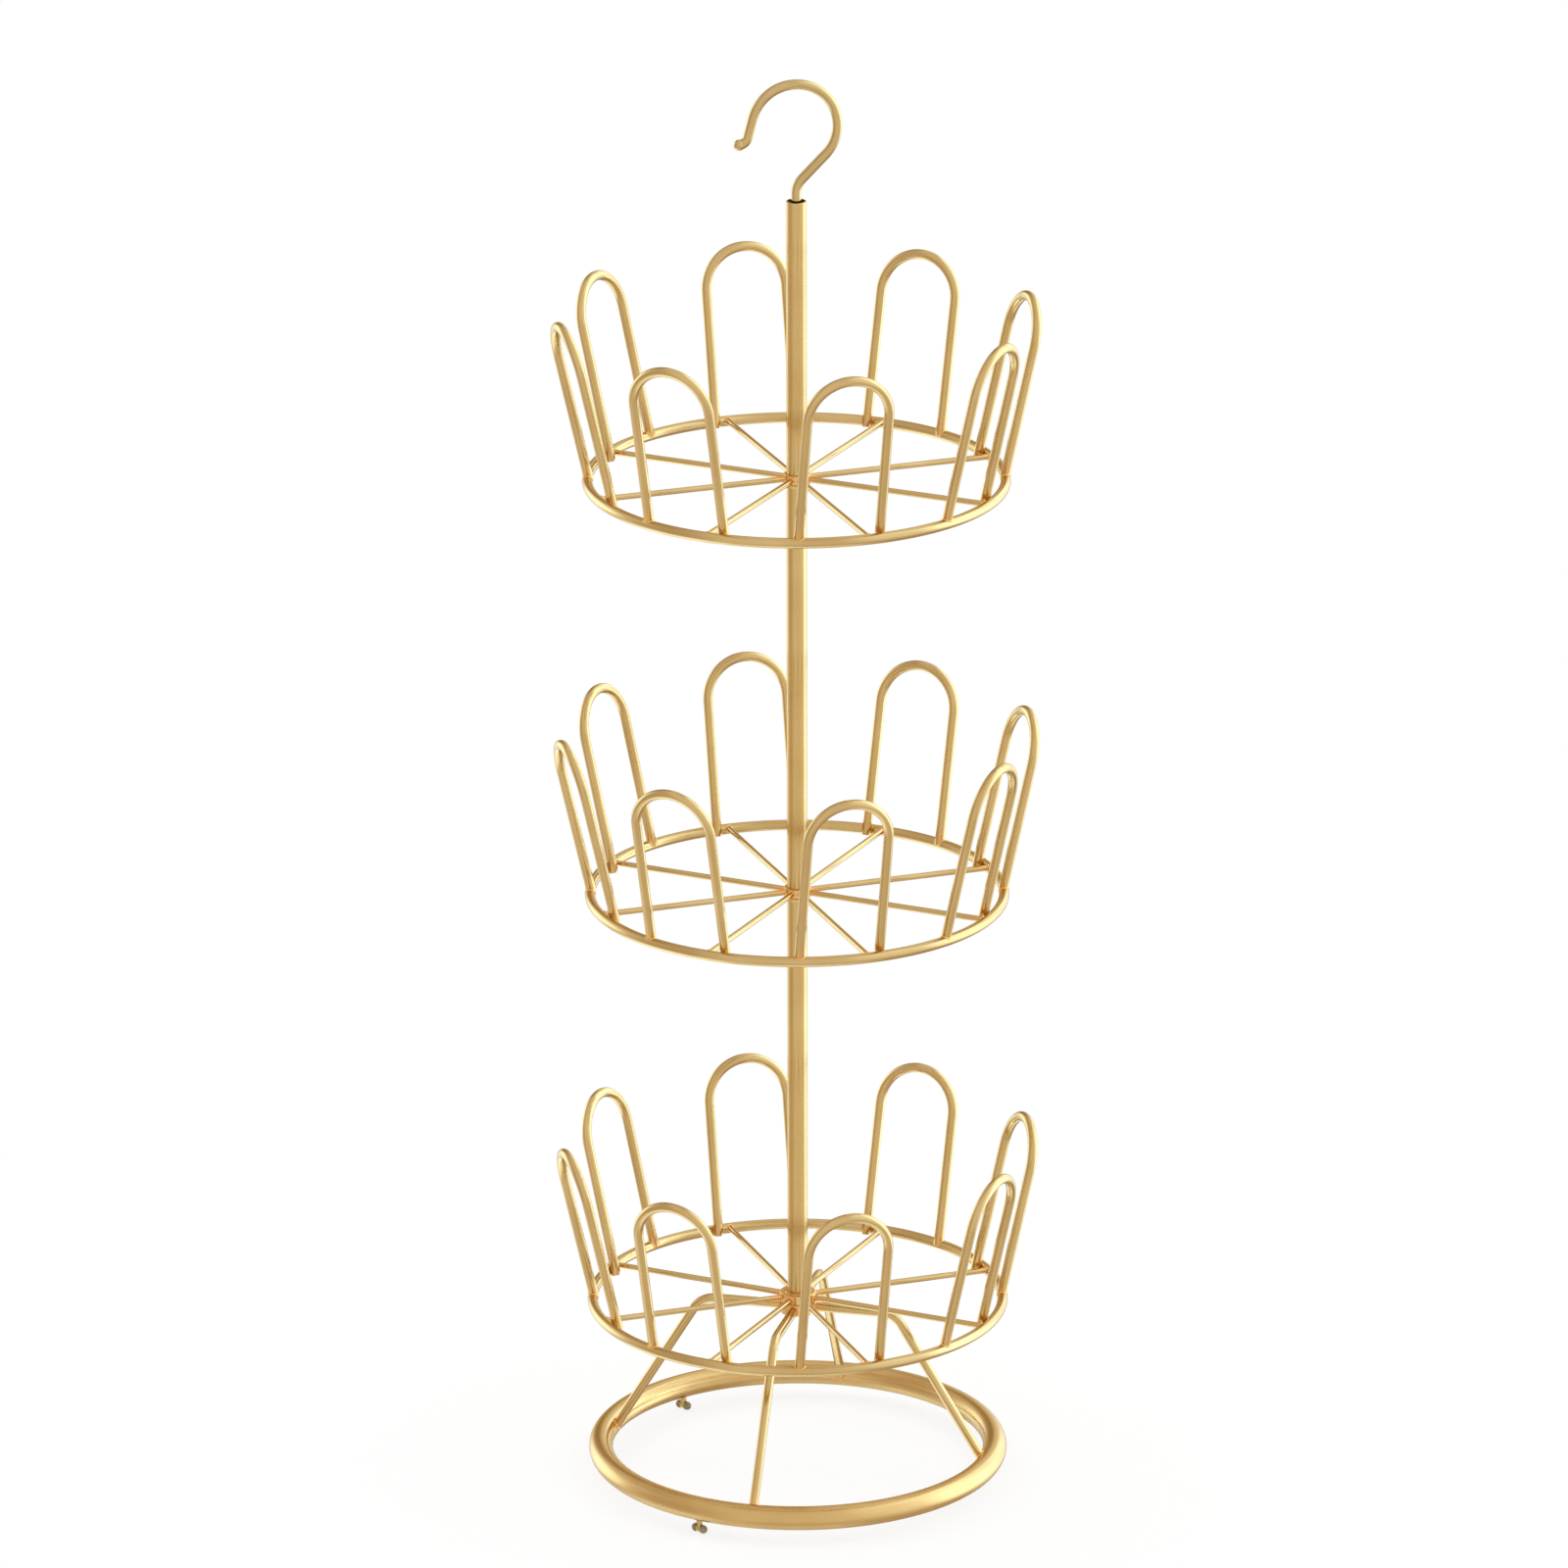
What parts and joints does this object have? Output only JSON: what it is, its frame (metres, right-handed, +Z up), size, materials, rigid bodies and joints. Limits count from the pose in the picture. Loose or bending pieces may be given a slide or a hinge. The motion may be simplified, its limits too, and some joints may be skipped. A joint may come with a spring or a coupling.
{
  "type": "rotating shoe tower",
  "caption": "Free-standing rotating shoe tower: round wire trays ringed with upright shoe loops turn on a tubular pole with a ring base and a top hook.",
  "frame": {"origin": "on the pole's axis in the plane that the feet stand on", "axes": "+Z up along the pole, which every tray turns about; +X the way the hook's shank bends out and the middle of a loop on each tray at rest; +Y completes a right-handed frame, so the hook lies in the XZ plane"},
  "size_m": [0.3328, 0.3328, 1.0024],
  "materials": {
    "gold_plating": "satin gold-coloured plating on steel",
    "bearing_nylon": "natural nylon",
    "plug_nylon": "dark moulded nylon",
    "foot_rubber": "brown moulded rubber",
    "zinc_steel": "zinc-plated"
  },
  "bodies": {
    "stand": {"base_foot_1": "gold_plating", "base_foot_2": "gold_plating", "base_foot_3": "gold_plating", "base_foot_tips": "foot_rubber", "base_hub": "gold_plating", "base_leg_1": "gold_plating", "base_leg_2": "gold_plating", "base_leg_3": "gold_plating", "base_leg_4": "gold_plating", "base_ring": "gold_plating", "base_screw": "zinc_steel", "base_screw_washer": "zinc_steel", "hook": "gold_plating", "hook_plug": "plug_nylon", "lower_bearing_washer": "bearing_nylon", "middle_bearing_washer": "bearing_nylon", "pole_end_plug": "plug_nylon", "pole_joint_middle": "gold_plating", "pole_joint_upper": "gold_plating", "pole_lower_section": "gold_plating", "pole_middle_section": "gold_plating", "pole_upper_section": "gold_plating", "upper_bearing_washer": "bearing_nylon"},
    "lower_tray": {"lower_tray_hub": "gold_plating", "lower_tray_loop_1": "gold_plating", "lower_tray_loop_2": "gold_plating", "lower_tray_loop_3": "gold_plating", "lower_tray_loop_4": "gold_plating", "lower_tray_loop_5": "gold_plating", "lower_tray_loop_6": "gold_plating", "lower_tray_loop_7": "gold_plating", "lower_tray_loop_8": "gold_plating", "lower_tray_ring": "gold_plating", "lower_tray_spokes": "gold_plating"},
    "middle_tray": {"middle_tray_hub": "gold_plating", "middle_tray_loop_1": "gold_plating", "middle_tray_loop_2": "gold_plating", "middle_tray_loop_3": "gold_plating", "middle_tray_loop_4": "gold_plating", "middle_tray_loop_5": "gold_plating", "middle_tray_loop_6": "gold_plating", "middle_tray_loop_7": "gold_plating", "middle_tray_loop_8": "gold_plating", "middle_tray_ring": "gold_plating", "middle_tray_spokes": "gold_plating"},
    "upper_tray": {"upper_tray_hub": "gold_plating", "upper_tray_loop_1": "gold_plating", "upper_tray_loop_2": "gold_plating", "upper_tray_loop_3": "gold_plating", "upper_tray_loop_4": "gold_plating", "upper_tray_loop_5": "gold_plating", "upper_tray_loop_6": "gold_plating", "upper_tray_loop_7": "gold_plating", "upper_tray_loop_8": "gold_plating", "upper_tray_ring": "gold_plating", "upper_tray_spokes": "gold_plating"}
  },
  "joints": [
    {"name": "lower_tray_turn", "type": "hinge", "parent": "stand", "child": "lower_tray", "pos_m": [0, 0, 0.127], "axis": [0, 0, 1], "continuous": true},
    {"name": "middle_tray_turn", "type": "hinge", "parent": "stand", "child": "middle_tray", "pos_m": [0, 0, 0.424], "axis": [0, 0, 1], "continuous": true},
    {"name": "upper_tray_turn", "type": "hinge", "parent": "stand", "child": "upper_tray", "pos_m": [0, 0, 0.721], "axis": [0, 0, 1], "continuous": true}
  ]
}
